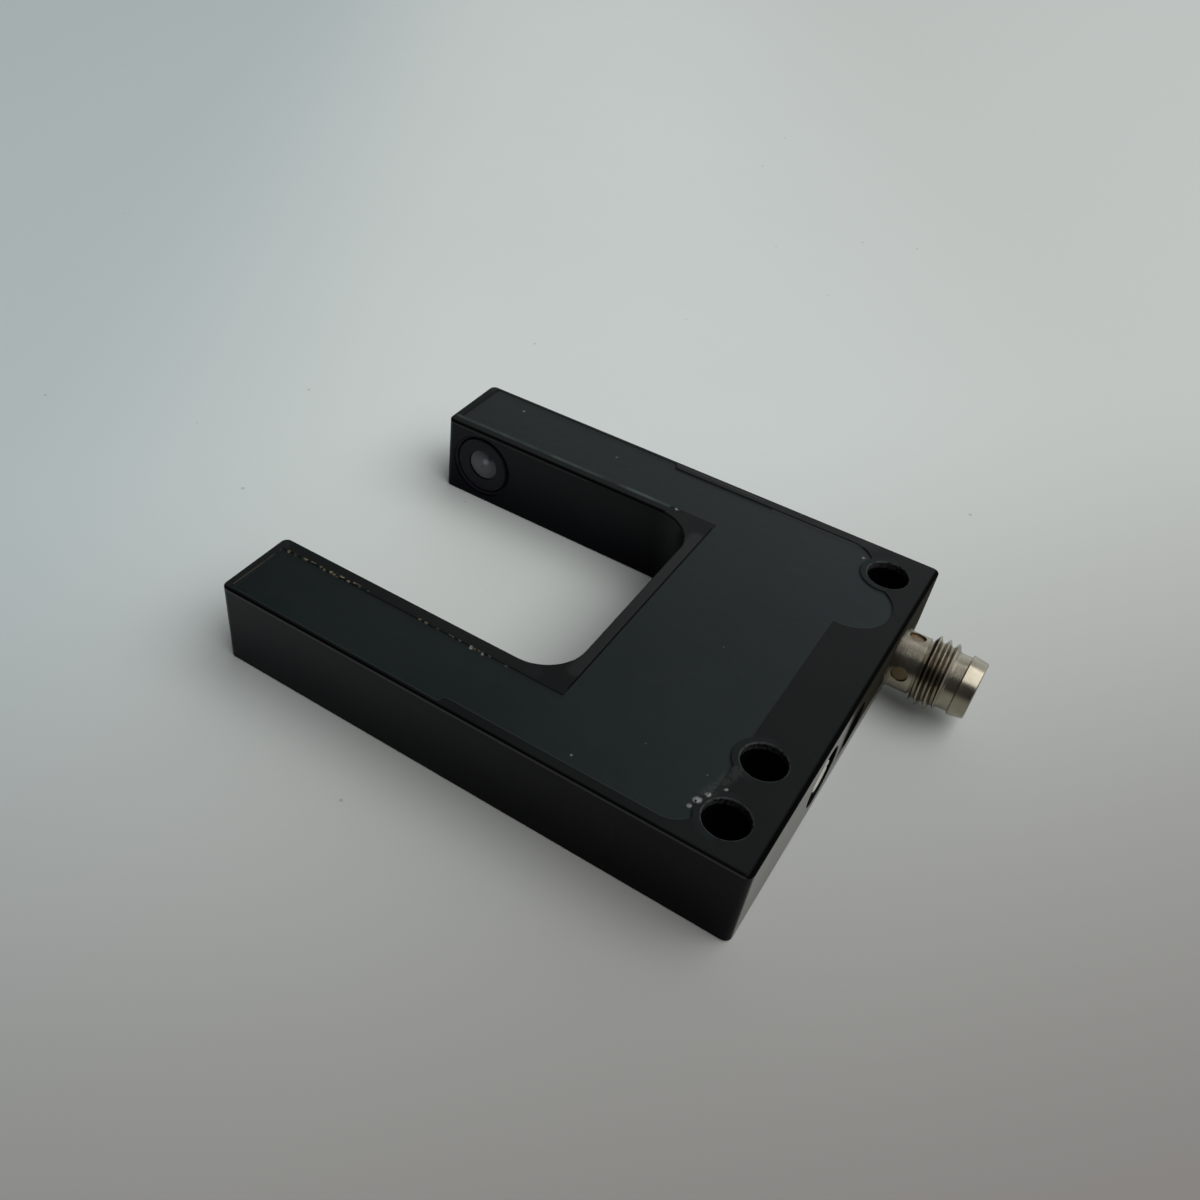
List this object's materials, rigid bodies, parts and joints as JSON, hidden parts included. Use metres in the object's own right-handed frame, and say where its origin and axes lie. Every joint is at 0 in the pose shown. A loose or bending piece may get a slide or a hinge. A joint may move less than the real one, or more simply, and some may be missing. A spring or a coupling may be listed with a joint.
{
  "type": "photo interrupter",
  "caption": "Potted fork light barrier: a flat U-shaped black body with a lens in each arm, through holes for screws, a trimmer, a status light and a round threaded plug.",
  "frame": {"origin": "below the middle of the bounding box, on the face that the body lies on", "axes": "+X along the arms towards the plug, +Y across the fork towards the arm on the plug's side, +Z out of the potted face"},
  "size_m": [0.0688, 0.05, 0.01],
  "materials": {
    "housing_plastic": "fine-grained black moulding",
    "potting_resin": "satin cast resin",
    "board_laminate": "green solder mask",
    "bezel_plastic": "smooth black moulding",
    "lens_plastic": "clear polished",
    "emitter_epoxy": "water-clear resin",
    "receiver_epoxy": "dark filter resin",
    "tinned_lead": "tinned",
    "trimmer_case": "smooth moulding",
    "trimmer_rotor_plastic": "light moulding",
    "light_pipe_plastic": "smoked clear",
    "status_led_epoxy": "diffused resin",
    "nickel_plate": "nickel-plated, turned",
    "insert_plastic": "smooth black moulding",
    "gold_plate": "gold-plated",
    "chip_mould": "moulded epoxy",
    "capacitor_case": "moulded epoxy",
    "capacitor_ceramic": "sintered"
  },
  "bodies": {
    "sensor": {"housing": "housing_plastic", "potting_compound": "potting_resin", "circuit_board": "board_laminate", "emitter_lens_holder": "bezel_plastic", "emitter_lens": "lens_plastic", "emitter_diode": "emitter_epoxy", "emitter_leads": "tinned_lead", "receiver_lens_holder": "bezel_plastic", "receiver_lens": "lens_plastic", "receiver_diode": "receiver_epoxy", "receiver_leads": "tinned_lead", "trimmer_body": "trimmer_case", "trimmer_leads": "tinned_lead", "status_light_pipe": "light_pipe_plastic", "status_led": "status_led_epoxy", "connector_shell": "nickel_plate", "connector_insert": "insert_plastic", "contact_pin_1": "gold_plate", "contact_pin_2": "gold_plate", "contact_pin_3": "gold_plate", "control_ic": "chip_mould", "control_ic_leads": "tinned_lead", "voltage_regulator": "chip_mould", "voltage_regulator_leads": "tinned_lead", "output_transistor": "chip_mould", "output_transistor_leads": "tinned_lead", "protection_diode": "chip_mould", "storage_capacitor": "capacitor_case", "chip_capacitors": "capacitor_ceramic", "chip_resistors": "chip_mould"},
    "trimmer": {"trimmer_rotor": "trimmer_rotor_plastic"}
  },
  "joints": [
    {"name": "trimmer_turn", "type": "hinge", "parent": "sensor", "child": "trimmer", "pos_m": [0.0246, -0.0063, 0.005], "axis": [1, 0, 0], "range_deg": [-135, 135]}
  ]
}
